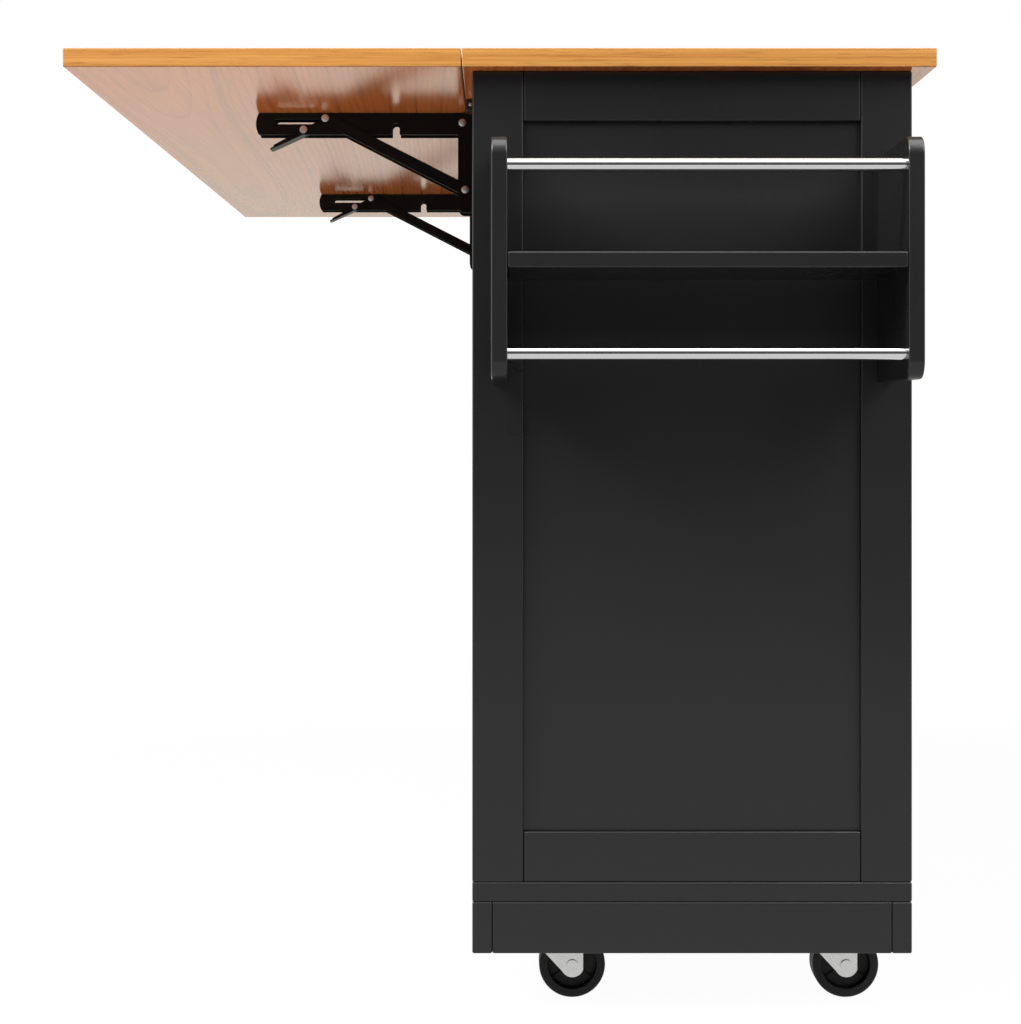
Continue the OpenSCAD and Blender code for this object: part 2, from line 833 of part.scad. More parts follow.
// Lever pins: riveted over on the outside of the support arm
module lever_pins() {
    color([0.8, 0.8, 0.8])
        for (y = bracket_y)
            from_corner(lever_out, lever_drop) {
                pin_y(lever_pin_d, y - arm_w / 2 - rivet_t, arm_w + 2 * rivet_t);
                rivet_heads(y, arm_w);
            }
}

module leaf_board() {
    color([0.85, 0.6, 0.3])
        board([x_leaf, y_top, z_under], [x_seam, y_top + top_length, z_under + top_t]);
}

// Blocks that fix the worktop to the body under its overhang
module top_fixing_blocks() {
    block = [back_overhang - 0.5, fixing_len, fixing_h];
    color([0.12, 0.12, 0.12])
        for (y = [y_top + fixing_inset, y_top + top_length - fixing_inset - block.y])
            board([x_back - block.x, y, z_under - block.z], [x_back, y + block.y, z_under], 0.8);
}

// ---- Casters ----

module caster_blocks() {
    w = block_w;
    color([0.5, 0.42, 0.32])
        for (at = caster_at) {
            sx = at.x < (x_back + x_front) / 2 ? x_back + plinth_t + panel_fit : x_front - plinth_t - panel_fit - w;
            sy = at.y < y_mid ? y_near + plinth_t + panel_fit : y_far - plinth_t - panel_fit - w;
            translate([sx, sy, caster_h])
                cube([w, w, z_bottom - caster_h]);
        }
}

// Square plate with the fixed half of the swivel race and the kingpin
module caster_plates() {
    z_plate = caster_h - plate_t;
    color([0.78, 0.78, 0.78])
        for (at = caster_at)
            translate([at.x, at.y, 0]) {
                translate([-plate_w / 2, -plate_w / 2, z_plate])
                    cube([plate_w, plate_w, plate_t]);
                rotate_extrude()
                    polygon([
                        [0, crown_z - 3], [kingpin_d / 2 + 1, crown_z - 3],
                        [kingpin_d / 2 + 1, crown_z - race_gap], [kingpin_d / 2, crown_z - race_gap],
                        [kingpin_d / 2, z_plate - race_h], [race_d / 2 - 3, z_plate - race_h],
                        [race_d / 2, z_plate], [0, z_plate]
                    ]);
            }
}

// Outline of a leg in X and Z from the swivel axis; the axle is its low end
module fork_leg_outline() {
    axle = [caster_trail, wheel_r];
    half = crown_w / 2;
    difference() {
        union() {
            polygon([
                [-half, crown_z + crown_t], [-half, crown_z - 2], axle + [-26.3, 12],
                axle + [-9.9, -5.6], axle + [leg_front, 0], axle + [leg_front, 20],
                [half, crown_z + crown_t]
            ]);
            intersection() {
                translate(axle)
                    circle(r = leg_r);
                translate(axle - [leg_r, leg_r])
                    square([leg_r + leg_front, 2 * leg_r]);
            }
        }
        translate(axle)
            circle(d = axle_d + 2 * pin_clear);
    }
}

// Swivelling fork: race cup, crown and two legs, with its riveted axle
module caster_fork(i) {
    half = leg_in + fork_t;
    z_race = caster_h - plate_t - race_h - race_gap;
    head_d = 12;
    head_t = 2;
    color([0.82, 0.82, 0.82])
        translate([caster_at[i].x, caster_at[i].y, 0]) {
            difference() {
                union() {
                    translate([-crown_w / 2, -half, crown_z])
                        cube([crown_w, 2 * half, crown_t]);
                    translate([0, 0, crown_z])
                        race_cup(race_d / 2 + 3, caster_h - plate_t - race_gap - crown_z);
                }
                translate([0, 0, crown_z - 1])
                    cylinder(h = race_d, d = kingpin_d + 2 * race_gap);
                translate([0, 0, z_race])
                    cylinder(h = race_d, d = race_d + 2 * race_gap);
            }
            for (y = [-half, leg_in])
                sheet_y(y, fork_t)
                    fork_leg_outline();
            translate([caster_trail, 0, wheel_r]) {
                pin_y(axle_d, -half - head_t, 2 * (half + head_t));
                pin_y(head_d, -half - head_t, head_t);
                pin_y(head_d, half, head_t);
            }
        }
}

// A cup of height h with a bevelled lower edge
module race_cup(r, h) {
    rotate_extrude()
        polygon([[0, 0], [r - 3, 0], [r, 3], [r, h], [0, h]]);
}

// Solid wheel: crowned tread, recessed sides and three broad ribs each side
module caster_wheel(i) {
    half = wheel_w / 2;
    rim = 9;
    hub = 8.5;
    dish = 3.5;
    color([0.13, 0.13, 0.13])
        translate([caster_at[i].x + caster_trail, caster_at[i].y, wheel_r])
            rotate([90, 0, 0])
                difference() {
                    rotate_extrude($fn = 96)
                        polygon([
                            [0, -half], [wheel_r - 2, -half], [wheel_r - 0.6, -half + 0.8],
                            [wheel_r, -half + 3], [wheel_r, half - 3],
                            [wheel_r - 0.6, half - 0.8], [wheel_r - 2, half], [0, half]
                        ]);
                    cylinder(h = 2 * wheel_w, d = axle_d + 2 * pin_clear, center = true);
                    for (side = [-1, 1])
                        translate([0, 0, side > 0 ? half - dish : -half - 1])
                            wheel_dish(wheel_r - rim, hub, dish + 1);
                }
}

// Ring pocket in the side of a wheel, broken by three ribs
module wheel_dish(r_out, r_in, h) {
    rib_w = 11;
    linear_extrude(h)
        difference() {
            circle(r = r_out);
            circle(r = r_in);
            for (a = [30, 150, 270])
                rotate(a)
                    translate([0, -rib_w / 2])
                        square([r_out + 1, rib_w]);
        }
}

worktop();
near_end_frame();
near_end_panel();
far_end_frame();
far_end_panel();
back_frame();
back_panels();
bottom_board();
plinth_long_boards();
plinth_end_boards();
partition();
front_rails();
shelves();
shelf_pins();
door_pivots();
drawer_runners();
top_fixing_blocks();
rack_sides();
rack_shelf();
towel_rails();
wall_arms();
bracket_pins();
caster_blocks();
caster_plates();
leaf_board();
support_arms();
lever_pins();
brace_straps(bracket_y[0]);  // near_brace
brace_straps(bracket_y[1]);  // far_brace
brace_rivets(bracket_y[0]);  // near_brace_rivets
brace_rivets(bracket_y[1]);  // far_brace_rivets
release_lever(bracket_y[0]);  // near_lever
release_lever(bracket_y[1]);  // far_lever
for (i = [0:3]) {
    door_frame(i);
    door_panel(i);
    door_knob(i);
    caster_fork(i);
    caster_wheel(i);
}
for (i = [0:1]) {
    drawer_front(i);
    drawer_box(i);
    drawer_knob(i);
}
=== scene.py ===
"""Drop leaf kitchen island on casters: oak boards, black lacquered cabinet, rack and folding brackets."""
import math

import bmesh
import bpy
from mathutils import Matrix, Vector


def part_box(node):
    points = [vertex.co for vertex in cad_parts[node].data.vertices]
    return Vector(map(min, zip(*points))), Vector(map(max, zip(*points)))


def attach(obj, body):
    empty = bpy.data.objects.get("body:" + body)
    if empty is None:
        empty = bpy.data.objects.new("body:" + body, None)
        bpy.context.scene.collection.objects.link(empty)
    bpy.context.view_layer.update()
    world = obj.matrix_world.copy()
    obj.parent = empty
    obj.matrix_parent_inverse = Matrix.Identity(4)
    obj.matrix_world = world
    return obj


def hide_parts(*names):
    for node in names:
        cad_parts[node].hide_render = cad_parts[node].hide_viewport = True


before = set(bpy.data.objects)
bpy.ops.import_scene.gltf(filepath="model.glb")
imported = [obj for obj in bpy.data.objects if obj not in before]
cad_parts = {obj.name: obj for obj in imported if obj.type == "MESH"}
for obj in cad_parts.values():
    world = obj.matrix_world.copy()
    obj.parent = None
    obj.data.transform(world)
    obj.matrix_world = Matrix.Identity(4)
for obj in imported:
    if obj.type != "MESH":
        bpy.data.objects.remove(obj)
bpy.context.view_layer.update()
X, Y, Z = 0, 1, 2


# ---- Worktop and leaf ----
# Two boards of engineered wood. Both faces carry one sheet of oak veneer each, and an oak
# band is glued round the edges and routed to a small radius. A satin lacquer goes over all.

def add_node(tree, kind, inputs, **settings):
    """A shader node; each input is a number, a colour or the output socket of another node."""
    made = tree.nodes.new("ShaderNode" + kind)
    for setting, value in settings.items():
        setattr(made, setting, value)
    for socket, value in inputs.items():
        if isinstance(value, bpy.types.NodeSocket):
            tree.links.new(value, made.inputs[socket])
        else:
            made.inputs[socket].default_value = value
    return made


def add_ramp(tree, factor, stops):
    """A colour ramp over a factor; stops are (position, colour) pairs."""
    made = add_node(tree, "ValToRGB", {"Fac": factor})
    elements = made.color_ramp.elements
    while len(elements) < len(stops):
        elements.new(1)
    for element, (position, colour) in zip(elements, stops):
        element.position = position
        element.color = (*colour, 1)
    return made.outputs["Color"]


def add_finish(name, **values):
    """A material whose shader sockets hold these values; words_like_this name the sockets."""
    made = bpy.data.materials.new(name)
    made.use_nodes = True
    shader = made.node_tree.nodes["Principled BSDF"]
    for word, value in values.items():
        shader.inputs[word.replace("_", " ")].default_value = value
    return made, made.node_tree, shader


def stretched(tree, scale, rotation=(0, 0, 0), location=(0, 0, 0)):
    """Object coordinates in metres, turned, moved and scaled."""
    place = add_node(tree, "TexCoord", {}).outputs["Object"]
    mapping = {"Vector": place, "Scale": scale, "Rotation": rotation, "Location": location}
    return add_node(tree, "Mapping", mapping).outputs["Vector"]


def mixed(tree, blend, factor, first, second):
    """Two colours blended; these sockets of a Mix node are the ones for colours."""
    factor_in, first_in, second_in, colour_out = 0, 6, 7, 2
    inputs = {factor_in: factor, first_in: first, second_in: second}
    made = add_node(tree, "Mix", inputs, data_type="RGBA", blend_type=blend)
    return made.outputs[colour_out]


def drawn_out(tree, along, across_per_m, along_per_m):
    """Object coordinates for a noise whose spots are long in one direction."""
    scale = [across_per_m] * 3
    scale[along] = along_per_m
    return stretched(tree, scale)


def oak_fibres(tree, along, amount):
    """Fine light and dark fibres that run along one axis, as a grey to multiply with."""
    place = drawn_out(tree, along, 420, 7)
    threads = add_node(tree, "TexNoise", {"Vector": place, "Scale": 1, "Detail": 5})
    low, high = 1 - amount, 1 + amount
    return add_ramp(tree, threads.outputs["Fac"], [(0.3, (low, low, low)), (0.7, (high, high, high))])


def oak_pores(tree, along):
    """Short dark pores along the grain, as a colour to multiply with."""
    place = drawn_out(tree, along, 900, 28)
    specks = add_node(tree, "TexNoise", {"Vector": place, "Scale": 1, "Detail": 2})
    return add_ramp(tree, specks.outputs["Fac"], [(0.60, (1, 1, 1)), (0.70, (0.62, 0.55, 0.5))])


def year_rings(tree, place, scale):
    """Round bands about the Y axis, each rising from 0 at its inside to 1 at its outside."""
    bands = add_node(tree, "TexWave", {"Vector": place, "Scale": scale},
                     wave_type="RINGS", rings_direction="Y", wave_profile="SAW")
    return bands.outputs["Fac"]


def veneer(name, pith, lean, tones):
    """Flat sawn oak: growth rings round a pith above the board, which leans in height and to
    one side along it. The tones are a ring's early wood, its late wood and its last thin line."""
    made, tree, shader = add_finish(name, Roughness=0.17)
    ring_scale, dry_year_scale = 62.0, 13.0
    drift_reach, ripple_reach = 0.016, 0.0004
    drift = add_node(tree, "TexNoise", {"Vector": stretched(tree, (1, 0.28, 1)), "Scale": 6, "Detail": 0})
    ripple = add_node(tree, "TexNoise", {"Vector": stretched(tree, (1, 0.1, 1)), "Scale": 130, "Detail": 0})
    bent = stretched(tree, (1, 1, 1), lean, (-pith.x, 0, -pith.z))
    for noise, reach in ((drift, drift_reach), (ripple, ripple_reach)):
        centred = add_node(tree, "VectorMath", {0: noise.outputs["Color"], 1: (0.5, 0.5, 0.5)},
                           operation="SUBTRACT")
        bent = add_node(tree, "VectorMath", {0: centred.outputs[0], 1: (reach, 0, reach), 2: bent},
                        operation="MULTIPLY_ADD").outputs[0]
    early, late, line = tones
    colour = add_ramp(tree, year_rings(tree, bent, ring_scale), [
        (0.0, early), (0.5, early), (0.84, late), (0.94, line), (1.0, early)])
    dry_years = add_ramp(tree, year_rings(tree, bent, dry_year_scale), [
        (0.0, (1, 1, 1)), (0.80, (1, 1, 1)), (0.93, (0.80, 0.70, 0.72)), (1.0, (1, 1, 1))])
    place = drawn_out(tree, Y, 14, 0.9)
    clouds = add_node(tree, "TexNoise", {"Vector": place, "Scale": 1, "Detail": 3})
    clouds = add_ramp(tree, clouds.outputs["Fac"], [(0.3, (0.90, 0.88, 0.86)), (0.7, (1.08, 1.09, 1.1))])
    for layer, share in ((clouds, 1.0), (dry_years, 1.0), (oak_fibres(tree, Y, 0.12), 1.0),
                         (oak_pores(tree, Y), 0.15)):
        colour = mixed(tree, "MULTIPLY", share, colour, layer)
    tree.links.new(colour, shader.inputs["Base Color"])
    return made


def edge_band(name, along, z_low):
    """Straight grained oak band; a streaky painted shade darkens its lowest millimetre along the lower
    edge.
    """
    made, tree, shader = add_finish(name, Roughness=0.3)
    streaks = add_node(tree, "TexNoise", {"Vector": drawn_out(tree, along, 480, 3.2), "Scale": 1,
                                          "Detail": 5, "Roughness": 0.66})
    colour = add_ramp(tree, streaks.outputs["Fac"], [
        (0.28, (0.52, 0.200, 0.042)), (0.42, (0.62, 0.262, 0.058)), (0.55, (0.67, 0.305, 0.072)),
        (0.72, (0.74, 0.37, 0.100))])
    # Painted shade: the band grows darker over its lowest millimetre, in uneven streaks.
    shade_streaks = add_node(tree, "TexNoise", {"Vector": drawn_out(tree, Z, 260, 90), "Scale": 1, "Detail": 3})
    height = add_node(tree, "SeparateXYZ", {0: stretched(tree, (1, 1, 1))}).outputs["Z"]
    dark_from, dark_to, unevenness = z_low + 0.0002, z_low + 0.0011, 0.9
    rise = add_node(tree, "MapRange", {"Value": height, "From Min": dark_from, "From Max": dark_to})
    uneven = {0: shade_streaks.outputs["Fac"], 1: unevenness, 2: rise.outputs["Result"]}
    rough_line = add_node(tree, "Math", uneven, operation="MULTIPLY_ADD")
    painted_shade_edge = add_ramp(tree, rough_line.outputs[0], [(0.5, (0.30, 0.20, 0.14)), (0.95, (1, 1, 1))])
    for layer, share in ((oak_fibres(tree, along, 0.10), 1.0), (oak_pores(tree, along), 0.7),
                         (painted_shade_edge, 1.0)):
        colour = mixed(tree, "MULTIPLY", share, colour, layer)
    tree.links.new(colour, shader.inputs["Base Color"])
    return made


def add_board(bm, low, high, ease, segments=3):
    """A board between two corners with rounded edges."""
    size = high - low
    place = Matrix.Translation((low + high) / 2) @ Matrix.Diagonal((*size, 1))
    corners = bmesh.ops.create_cube(bm, size=1, matrix=place)["verts"]
    edges = list({edge for corner in corners for edge in corner.link_edges})
    bmesh.ops.bevel(bm, geom=edges, offset=ease, affect="EDGES", segments=segments, profile=0.5,
                    material=-1)


def add_piece(bm, name, body, finishes, replaced=(), sharp_angle=50):
    """Makes an object of a bmesh: smooth where it is round, flat where it is flat."""
    mesh = bpy.data.meshes.new(name)
    bm.to_mesh(mesh)
    bm.free()
    mesh.shade_smooth()
    mesh.set_sharp_from_angle(angle=math.radians(sharp_angle))
    for finish in finishes:
        mesh.materials.append(finish)
    piece = bpy.data.objects.new(name, mesh)
    bpy.context.scene.collection.objects.link(piece)
    even = piece.modifiers.new("even_shading", "WEIGHTED_NORMAL")
    even.keep_sharp = True
    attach(piece, body)
    for node in replaced:
        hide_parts(node)


def add_oak_board(node, body, pith, lean):
    """Veneer on both faces, bands with their own grain on the ends and the long edges."""
    low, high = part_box(node)
    router_radius, flat = 0.0012, 0.95
    on_top, on_end, on_side = 1, 2, 3
    bm = bmesh.new()
    add_board(bm, low, high, router_radius)
    for face in bm.faces:
        normal = face.normal
        if abs(normal.z) < flat:
            face.material_index = on_end if abs(normal.y) > abs(normal.x) else on_side
        elif normal.z > 0:
            face.material_index = on_top
    # The underside's tones are the top's oak made redder and deeper: painted shade for the dimmer light
    # under the board.
    underside_shade_tones = ((0.76, 0.215, 0.050), (0.71, 0.190, 0.045), (0.65, 0.160, 0.040))
    honey = ((0.71, 0.315, 0.074), (0.62, 0.252, 0.056), (0.47, 0.168, 0.038))
    finishes = [veneer(node + "_under_veneer", pith, lean, underside_shade_tones),
                veneer(node + "_top_veneer", pith, lean, honey),
                edge_band(node + "_end_band", X, low.z), edge_band(node + "_side_band", Y, low.z)]
    add_piece(bm, node + "_oak", body, finishes, [node])


add_oak_board("worktop", "root", Vector((0.26, 0, 1.06)), (0.02, 0, 0))
add_oak_board("leaf_board", "leaf", Vector((-0.355, 0, 1.04)), (-0.012, 0, -0.03))


# ---- Cabinet boards ----
# Fibreboard sprayed with black satin lacquer. Stiles and rails are butted with a hairline
# joint, their edges are sanded round, and the fields lie recessed behind them.

def lacquer(name, colour, roughness):
    """Sprayed satin lacquer with a faint orange peel and slightly uneven gloss."""
    made, tree, shader = add_finish(name, Base_Color=(*colour, 1), Roughness=roughness)
    peel = add_node(tree, "TexNoise", {"Vector": stretched(tree, (1, 1, 1)), "Scale": 900, "Detail": 2})
    relief = add_node(tree, "Bump", {"Height": peel.outputs["Fac"], "Strength": 0.05, "Distance": 0.0003})
    tree.links.new(relief.outputs["Normal"], shader.inputs["Normal"])
    cloud = add_node(tree, "TexNoise", {"Vector": stretched(tree, (1, 1, 1)), "Scale": 4, "Detail": 3})
    gloss = add_node(tree, "MapRange", {"Value": cloud.outputs["Fac"], "From Min": 0.3, "From Max": 0.7,
                                        "To Min": roughness - 0.03, "To Max": roughness + 0.03})
    tree.links.new(gloss.outputs["Result"], shader.inputs["Roughness"])
    return made


def merged(node):
    """A copy of a CAD node's mesh with its loose triangles joined into closed solids."""
    bm = bmesh.new()
    bm.from_mesh(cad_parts[node].data)
    bmesh.ops.remove_doubles(bm, verts=bm.verts, dist=1e-6)
    return bm


def solid_boxes(node):
    """Lowest and highest corner of each separate solid in a CAD node."""
    bm = merged(node)
    waiting = set(bm.verts)
    boxes = []
    while waiting:
        solid = [waiting.pop()]
        for corner in solid:
            near = {edge.other_vert(corner) for edge in corner.link_edges} & waiting
            waiting -= near
            solid.extend(near)
        low = Vector(min(corner.co[axis] for corner in solid) for axis in range(3))
        high = Vector(max(corner.co[axis] for corner in solid) for axis in range(3))
        boxes.append((low, high))
    bm.free()
    return sorted(boxes, key=lambda box: box[0].to_tuple())


def add_boards(node, body, finish, ease, across=None, outside=None):
    """Every solid of a CAD node as a board with rounded edges. Across a joint line the boards
    are pressed together: they grow by half the line, but not past the box of node outside."""
    outer_low, outer_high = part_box(outside or node)
    bm = bmesh.new()
    for low, high in solid_boxes(node):
        if across is not None:
            low[across] = max(low[across] - half_line, outer_low[across])
            high[across] = min(high[across] + half_line, outer_high[across])
        add_board(bm, low, high, ease)
    add_piece(bm, node + "_boards", body, [finish], [node])


def add_frame(node, body, along, thick, outward):
    """Stiles and rails of one frame. The rails are sanded down a hair behind the stiles, so the
    rounded edge of a stile runs on past the joint."""
    bm = bmesh.new()
    for low, high in solid_boxes(node):
        if (high - low)[along] > (high - low).z:
            if outward < 0:
                low[thick] += sanded_back
            else:
                high[thick] -= sanded_back
            low[along] -= half_line
            high[along] += half_line
        add_board(bm, low, high, sanded_radius)
    add_piece(bm, node + "_boards", body, [black_satin], [node])


def dress(node, finish):
    """Gives a CAD node that keeps its shape a finish."""
    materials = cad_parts[node].data.materials
    materials.clear()
    materials.append(finish)


black_satin = lacquer("black_satin", (0.0138, 0.0138, 0.0139), 0.29)
inside_black = lacquer("inside_black", (0.017, 0.017, 0.017), 0.5)
sanded_radius, sanded_back = 0.0018, 0.0007
half_line = 0.00015
add_frame("near_end_frame", "root", X, Y, -1)
add_frame("far_end_frame", "root", X, Y, 1)
for node, across in (("back_frame", Z), ("bottom_board", None), ("plinth_long_boards", X),
                     ("plinth_end_boards", X), ("front_rails", None)):
    outside = "bottom_board" if "plinth" in node else None
    add_boards(node, "root", black_satin, sanded_radius, across, outside)
for node in ("near_end_panel", "far_end_panel", "back_panels"):
    dress(node, black_satin)
dress("partition", inside_black)
add_boards("shelves", "root", inside_black, 0.0008)


# ---- Hidden fittings ----
# Shelf pins, flanged door pivots and pressed steel drawer runners, all in bright zinc. They
# show when a door or drawer is open.

def steel(name, colour, roughness, brush=60):
    """Plated steel with fine drawing lines in its gloss."""
    made, tree, shader = add_finish(name, Base_Color=(*colour, 1), Metallic=1.0)
    place = drawn_out(tree, Y, brush * 8, brush)
    lines = add_node(tree, "TexNoise", {"Vector": place, "Scale": 1, "Detail": 3})
    gloss = add_node(tree, "MapRange", {"Value": lines.outputs["Fac"], "From Min": 0.3, "From Max": 0.7,
                                        "To Min": roughness * 0.8, "To Max": roughness * 1.2})
    tree.links.new(gloss.outputs["Result"], shader.inputs["Roughness"])
    return made


zinc = steel("zinc", (0.88, 0.88, 0.885), 0.3)
for node in ("shelf_pins", "door_pivots", "drawer_runners"):
    dress(node, zinc)


# ---- Doors ----
# Four shaker doors, each of two stiles, two rails and a recessed field, in the same black
# lacquer as the cabinet.

for number in (1, 2, 3, 4):
    add_frame(f"door_frame_{number}", f"door_{number}", Y, X, 1)
    dress(f"door_panel_{number}", black_satin)


# ---- Knobs ----
# Turned brass knobs with a satin nickel plating, one on each door and drawer. Foot, neck,
# rim and crown are turned from one bar.

def move_into(part, bm):
    """Adds all of one bmesh to another and frees it."""
    mesh = bpy.data.meshes.new("part")
    part.to_mesh(mesh)
    part.free()
    bm.from_mesh(mesh)
    bpy.data.meshes.remove(mesh)


def add_turned(bm, profile, at, axis, steps=40):
    """Spins a profile of (radius, height) pairs about an axis through a point."""
    part = bmesh.new()
    line = [part.verts.new((radius, 0, height)) for radius, height in profile]
    for start, end in zip(line, line[1:]):
        part.edges.new((start, end))
    bmesh.ops.spin(part, geom=part.verts[:] + part.edges[:], cent=(0, 0, 0), axis=(0, 0, 1),
                   angle=math.tau, steps=steps, use_merge=True)
    bmesh.ops.remove_doubles(part, verts=part.verts, dist=1e-7)
    bmesh.ops.recalc_face_normals(part, faces=part.faces)
    turn = Vector((0, 0, 1)).rotation_difference(Vector(axis)).to_matrix().to_4x4()
    part.transform(Matrix.Translation(at) @ turn)
    move_into(part, bm)


def arc(centre, radius, start, end, steps):
    """Points of an arc in a profile; angles are in degrees."""
    angles = [math.radians(start + (end - start) * step / steps) for step in range(steps + 1)]
    return [(centre[0] + radius * math.cos(a), centre[1] + radius * math.sin(a)) for a in angles]


def knob_profile(radius, out):
    """Half outline of a knob: a foot, a waisted neck, a thick rim and a low crown."""
    foot_h, neck_from, head_h, rim_depth, crown_h = 0.0012, 0.0055, 0.0115, 0.0055, 0.0035
    foot_ease, foot_hollow, neck_hollow, rim_ease = 0.0006, 0.0035, 0.004, 0.0021
    crown_inset, face_inset = 0.0015, 0.0024
    crown_r = (radius ** 2 + crown_h ** 2) / (2 * crown_h)
    half = math.degrees(math.asin((radius - crown_inset) / crown_r))
    foot, neck = radius * 0.5, radius * 0.36
    profile = [(0, 0), (foot, 0)] + arc((foot - foot_ease, foot_h), foot_ease, 0, 90, 4)
    profile += arc((neck + foot_hollow, neck_from), foot_hollow, 245, 180, 6)
    profile += [(neck, out - head_h)]
    profile += arc((neck + neck_hollow, out - head_h), neck_hollow, 180, 105, 6)
    profile += arc((radius - rim_ease, out - rim_depth), rim_ease, -75, 65, 8)
    profile += [(radius - face_inset, out - crown_h * 0.78)]
    return profile + arc((0, out - crown_r), crown_r, 90 - half * 0.8, 90, 8)


nickel = steel("satin_nickel", (0.74, 0.71, 0.66), 0.26)
knobs = [(f"door_knob_{number}", f"door_{number}") for number in (1, 2, 3, 4)]
knobs += [(f"drawer_knob_{number}", f"drawer_{number}") for number in (1, 2)]
for name, body in knobs:
    low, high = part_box(name)
    foot_middle = (low.x, (low.y + high.y) / 2, (low.z + high.z) / 2)
    bm = bmesh.new()
    add_turned(bm, knob_profile((high.y - low.y) / 2, high.x - low.x), foot_middle, (1, 0, 0))
    add_piece(bm, name + "_turned", body, [nickel], [name])


# ---- Drawers ----
# Lacquered fronts on boxes of pale birch board, whose bottom is cut to fit between the walls
# (the real one sits in a groove). A zinc rail on each flank runs in the cabinet's runners.

def birch(name):
    """Pale straight grained board with thin darker lines along its length."""
    made, tree, shader = add_finish(name, Roughness=0.45)
    lines = add_node(tree, "TexNoise", {"Vector": stretched(tree, (9, 9, 130)), "Scale": 1, "Detail": 4})
    colour = add_ramp(tree, lines.outputs["Fac"], [
        (0.3, (0.50, 0.36, 0.22)), (0.5, (0.62, 0.47, 0.31)), (0.7, (0.68, 0.54, 0.38))])
    tree.links.new(colour, shader.inputs["Base Color"])
    return made


birch_board = birch("birch_board")
box_side, box_ease, floor_ease, rail_ease = 0.012, 0.0012, 0.0002, 0.0015
for number in (1, 2):
    body = f"drawer_{number}"
    add_boards(f"drawer_front_{number}", body, black_satin, sanded_radius)
    solids = sorted(solid_boxes(f"drawer_box_{number}"), key=lambda box: (box[1] - box[0]).y)
    rails, (bottom, walls) = solids[:2], solids[2:]
    low, high = walls
    inner_low, inner_high = low.y + box_side, high.y - box_side
    bm = bmesh.new()
    for y in (low.y, inner_high):
        add_board(bm, Vector((low.x, y, low.z)), Vector((high.x, y + box_side, high.z)), box_ease)
    for x in (low.x, high.x - box_side):
        end_low, end_high = Vector((x, inner_low, low.z)), Vector((x + box_side, inner_high, high.z))
        add_board(bm, end_low, end_high, box_ease)
    floor_low = Vector((low.x + box_side, inner_low, bottom[0].z))
    floor_high = Vector((high.x - box_side, inner_high, bottom[1].z))
    add_board(bm, floor_low, floor_high, floor_ease, 1)
    add_piece(bm, f"drawer_box_{number}_boards", body, [birch_board],
              [f"drawer_box_{number}"])
    bm = bmesh.new()
    for low, high in rails:
        add_board(bm, low, high, rail_ease)
    add_piece(bm, f"drawer_box_{number}_rails", body, [zinc])


# ---- Rack ----
# Two lacquered sides with rounded front corners against the end of the cabinet, a shelf
# between them, and two chromed tubes for towels let into blind holes.

front_radius, rim_radius = 0.017, 0.0016
for index, (side_low, side_high) in enumerate(solid_boxes("rack_sides")):
    bm = bmesh.new()
    side_size = side_high - side_low
    place = Matrix.Translation((side_low + side_high) / 2) @ Matrix.Diagonal((*side_size, 1))
    bmesh.ops.create_cube(bm, size=1, matrix=place)
    front = [edge for edge in bm.edges
             if all(abs(corner.co.y - side_low.y) < 1e-5 for corner in edge.verts)
             and abs(edge.verts[0].co.x - edge.verts[1].co.x) > 1e-3]
    bmesh.ops.bevel(bm, geom=front, offset=front_radius, affect="EDGES", segments=14, profile=0.5,
                    material=-1)
    rim = [edge for edge in bm.edges if edge.calc_face_angle() > math.radians(45)]
    bmesh.ops.bevel(bm, geom=rim, offset=rim_radius, affect="EDGES", segments=3, profile=0.5,
                    material=-1)
    replaced = ["rack_sides"] if index == 0 else []
    add_piece(bm, f"rack_side_{index + 1}", "root", [black_satin], replaced)
add_boards("rack_shelf", "root", black_satin, sanded_radius)

chrome = steel("chrome", (0.93, 0.93, 0.935), 0.1, 20)
tube_chamfer = 0.0006
bm = bmesh.new()
for low, high in solid_boxes("towel_rails"):
    length, radius = high.x - low.x, (high.z - low.z) / 2
    profile = [(0, 0), (radius - tube_chamfer, 0), (radius, tube_chamfer),
               (radius, length - tube_chamfer), (radius - tube_chamfer, length), (0, length)]
    add_turned(bm, profile, (low.x, (low.y + high.y) / 2, (low.z + high.z) / 2), (1, 0, 0), 64)
add_piece(bm, "towel_rails_chromed", "root", [chrome], ["towel_rails"])


# ---- Folding brackets ----
# Pressed steel channels and straps, powder coated black, riveted together with bright
# steel rivets. The downward faces of the release levers are painted grey: a painted reflection of the
# bright floor below them.

def softened(node, ease):
    """A copy of a CAD node with the sharp edges of its sheets rounded."""
    bm = merged(node)
    bmesh.ops.dissolve_limit(bm, angle_limit=math.radians(0.5), verts=bm.verts, edges=bm.edges,
                             delimit={"NORMAL"})
    sharp = [edge for edge in bm.edges
             if len(edge.link_faces) == 2 and edge.calc_face_angle() > math.radians(40)]
    bmesh.ops.bevel(bm, geom=sharp, offset=ease, affect="EDGES", segments=2, profile=0.5,
                    material=-1, clamp_overlap=True)
    return bm


def powder(name, colour, roughness, sheen):
    """Powder coating: matt black with a fine pebbled surface."""
    made, tree, shader = add_finish(name, Base_Color=(*colour, 1), Roughness=roughness,
                                    Specular_IOR_Level=sheen)
    pebbles = add_node(tree, "TexVoronoi", {"Vector": stretched(tree, (1, 1, 1)), "Scale": 1400})
    relief = add_node(tree, "Bump", {"Height": pebbles.outputs["Distance"], "Strength": 0.12,
                                     "Distance": 0.0002})
    tree.links.new(relief.outputs["Normal"], shader.inputs["Normal"])
    return made


